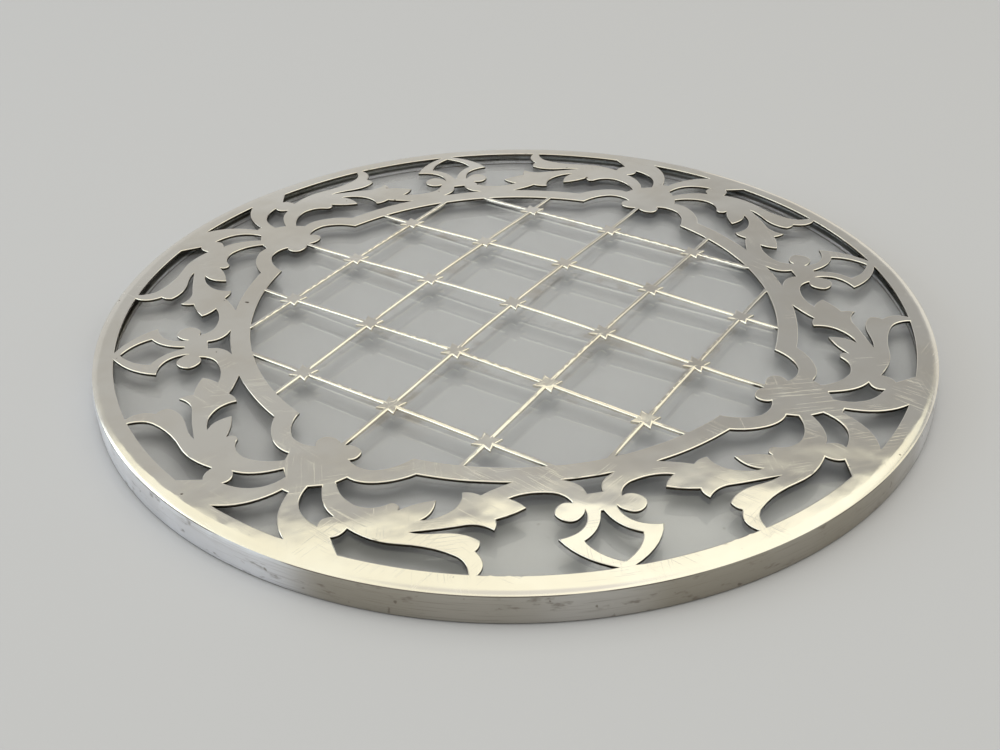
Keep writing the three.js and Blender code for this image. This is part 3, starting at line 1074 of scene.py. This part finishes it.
def makeBand():
    inner, lipTop = solderHigh.x, glassLow.z
    lipInner = inner - bandShape["lipReach"]
    soft, innerSoft = bandShape["edgeSoftness"], bandShape["innerSoftness"]
    corners = [
        (lipInner, bandLow.z, innerSoft),
        (bandHigh.x, bandLow.z, bandShape["footRound"]),
        (bandHigh.x, bandShape["waist"], bandShape["waistSoftness"]),
        (bandHigh.x - bandLean, bandHigh.z, soft),
        (inner, bandHigh.z, innerSoft),
        (inner, lipTop, 0),
        (lipInner, lipTop, innerSoft),
    ]
    return turnPiece("rim_band", "worn_silver", corners, unevenness=bandShape["unevenness"])


def makeGlass():
    bevel, soft = glassShape["bevel"], glassShape["bevelSoftness"]
    low, high, reach = glassLow.z, glassHigh.z, glassHigh.x
    corners = [
        (0, low, 0),
        (reach - bevel, low, soft),
        (reach, low + bevel, soft),
        (reach, high - bevel, soft),
        (reach - bevel, high, soft),
        (0, high, 0),
    ]
    return turnPiece("glass_disc", "clear_glass", corners, closed=False)


def makeSolder():
    outer, top = solderHigh.x, solderHigh.z
    leg = top - solderLow.z
    hollow = solderShape["hollow"]
    corners = [
        (outer, top - leg, 0),
        (outer, top, 0),
        (outer - leg, top, 0),
        (outer - leg / 2 + hollow, top - leg / 2 + hollow, 0),
    ]
    return turnPiece("solder_fillet", "silver_solder", corners, unevenness=solderShape["unevenness"])


rimBand = makeBand()
glassDisc = makeGlass()
solderFillet = makeSolder()

pieces = [
    (piercedSheet, "pierced_silver_sheet", "polished_silver"),
    (rimBand, "silver_rim_band", "worn_silver"),
    (glassDisc, "clear_glass_disc", "clear_glass"),
    (solderFillet, "solder_seam", "silver_solder"),
]
for piece, node, slot in pieces:
    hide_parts(node)
    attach(piece, "root")
print("stage: pieces ride on the root body")


# Floor, light and camera

studio = {
    "floorColour": (0.435, 0.435, 0.465, 1),
    "floorHalf": 4.0,
    "floorGap": 0.02 * mm,
    "floorRoughness": 0.9,
    "skyStrength": 0.482,
    "skyBehind": 0.27,
    "skyRight": 0.79,
    "skyLeftHigh": 0.95,
    "skyRightHigh": 1.35,
    "skyLow": 1.22,
    "skyAbove": (0.42, 0.42, 0.66, 1),
    "aheadFade": (0.30, 0.72),  # these fades are in parts of a direction of length 1
    "overFade": (0.50, 0.72),
    "rightFade": (0.0, 0.22),
    "rightHighFade": (-0.2, 0.3),
    "highFade": (0.58, 0.66),
    "lowFade": (0.47, 0.39),
    "aboveFade": (0.93, 0.985),
    "lamps": {  # place and target are to the right, forward and up, as the camera sees the stand
        "ceiling": {
            "place": (0, -0.335, 1.2),
            "target": (0, -0.335, 0),
            "turn": math.radians(5),
            "size": (3.6, 3.4),
            "power": 24.2,
            "colour": (1.0, 0.975, 0.74),
        },
        "overhead": {
            "place": (0.05, 0.10, 1.2),
            "target": (0, 0.06, 0),
            "size": (0.6, 0.6),
            "power": 3.9,
            "colour": (1.0, 0.98, 0.86),
            "mirrored": False,
        },
        "right": {
            "place": (0.86, 1.05, 0.26),
            "target": (0, 0, 0.1),
            "size": (1.3, 0.48),
            "power": 0.6,
            "colour": (1.0, 0.96, 0.83),
        },
        "window": {
            "place": (-1.27, -0.15, 0.46),
            "target": (0, 0, 0.1),
            "size": (1.9, 0.86),
            "power": 9.7,
            "colour": (0.80, 0.92, 1.0),
        },
        "wall": {
            "place": (1.75, -0.25, 0.72),
            "target": (0, 0, 0.1),
            "size": (2.2, 0.9),
            "power": 4.3,
            "colour": (1.0, 0.975, 0.74),
        },
    },
}

viewShape = {  # the camera's place is given before the azimuth turns it about the stand
    "azimuth": math.radians(33.61),
    "tilt": math.radians(33.46),
    "roll": math.radians(-1.146),
    "right": -2.906 * mm,
    "forward": -208.318 * mm,
    "up": 127.336 * mm,
    "lens": 42.82,
    "sensorWidth": 36,
    "clipStart": 5 * mm,
}
viewTurn = Matrix.Rotation(viewShape["azimuth"], 4, "Z")


def makeFloor():
    half, level = studio["floorHalf"], -studio["floorGap"]
    mesh = bpy.data.meshes.new("floor")
    corners = [(-half, -half, level), (half, -half, level), (half, half, level), (-half, half, level)]
    mesh.from_pydata(corners, [], [(0, 1, 2, 3)])
    material, tree, surface = newMaterial("floor")
    inputs = {"Base Color": studio["floorColour"], "Roughness": studio["floorRoughness"]}
    connect(tree, surface, {**inputs, "Specular IOR Level": 0.0})
    mesh.materials.append(material)
    floor = newObject("floor", mesh)


def makeLight():
    world = bpy.data.worlds.new("studio")
    world.use_nodes = True
    bpy.context.scene.world = world
    tree = world.node_tree
    direction = addNode(tree, "ShaderNodeTexCoord").outputs["Generated"]
    ahead = vecCalc(tree, "DOT_PRODUCT", direction, viewTurn @ Vector((0, 1, 0)))
    right = vecCalc(tree, "DOT_PRODUCT", direction, viewTurn @ Vector((1, 0, 0)))
    up = heightOf(tree, direction)

    # The sky is dimmer behind the camera, but what is seen, mirrored or seen through glass isn't
    lit = fade(tree, ahead, *studio["aheadFade"])
    ray = addNode(tree, "ShaderNodeLightPath").outputs
    seen = [ray[kind] for kind in ("Is Camera Ray", "Is Glossy Ray", "Is Transmission Ray")]
    for more in (fade(tree, up, *studio["overFade"]), *seen):
        lit = calc(tree, "MAXIMUM", lit, more)
    strength = fade(tree, lit, 0.0, 1.0, studio["skyBehind"], studio["skyStrength"])

    # It also changes from left to right, low down and near the top
    low = fade(tree, right, *studio["rightFade"], 1.0, studio["skyRight"])
    high = fade(tree, right, *studio["rightHighFade"], studio["skyLeftHigh"], studio["skyRightHigh"])
    isHigh = fade(tree, up, *studio["highFade"])
    side = calc(tree, "MULTIPLY_ADD", calc(tree, "SUBTRACT", high, low), isHigh, low)
    strength = times(tree, strength, side)
    strength = times(tree, strength, fade(tree, up, *studio["lowFade"], 1.0, studio["skyLow"]))
    isAbove = fade(tree, up, *studio["aboveFade"])
    colour = mixColour(tree, isAbove, (1, 1, 1, 1), studio["skyAbove"])
    connect(tree, tree.nodes["Background"], {"Color": colour, "Strength": strength})
    for name, values in studio["lamps"].items():
        lamp = bpy.data.lights.new(name, "AREA")
        lamp.shape = "RECTANGLE"
        lamp.size, lamp.size_y = values["size"]
        lamp.energy = values["power"]
        lamp.color = values["colour"]
        light = newObject(name, lamp)
        place, target = Vector(values["place"]), Vector(values["target"])
        facing = (place - target).to_track_quat("Z", "Y").to_matrix().to_4x4()
        spin = Matrix.Rotation(values.get("turn", 0), 4, "Z")
        light.matrix_world = viewTurn @ Matrix.Translation(place) @ facing @ spin
        light.visible_camera = False
        light.visible_glossy = values.get("mirrored", True)


def makeCamera():
    lens = bpy.data.cameras.new("camera")
    lens.lens = viewShape["lens"]
    lens.sensor_width = viewShape["sensorWidth"]
    lens.clip_start = viewShape["clipStart"]
    camera = newObject("camera", lens)
    tilt = Matrix.Rotation(math.pi / 2 - viewShape["tilt"], 4, "X")
    roll = Matrix.Rotation(viewShape["roll"], 4, "Z")
    place = viewTurn @ Vector((viewShape["right"], viewShape["forward"], viewShape["up"]))
    camera.matrix_world = Matrix.Translation(place) @ viewTurn @ tilt @ roll
    bpy.context.scene.camera = camera


makeFloor()
makeLight()
makeCamera()
bpy.context.scene.view_settings.view_transform = "Standard"
print("stage: floor, light and camera are ready")
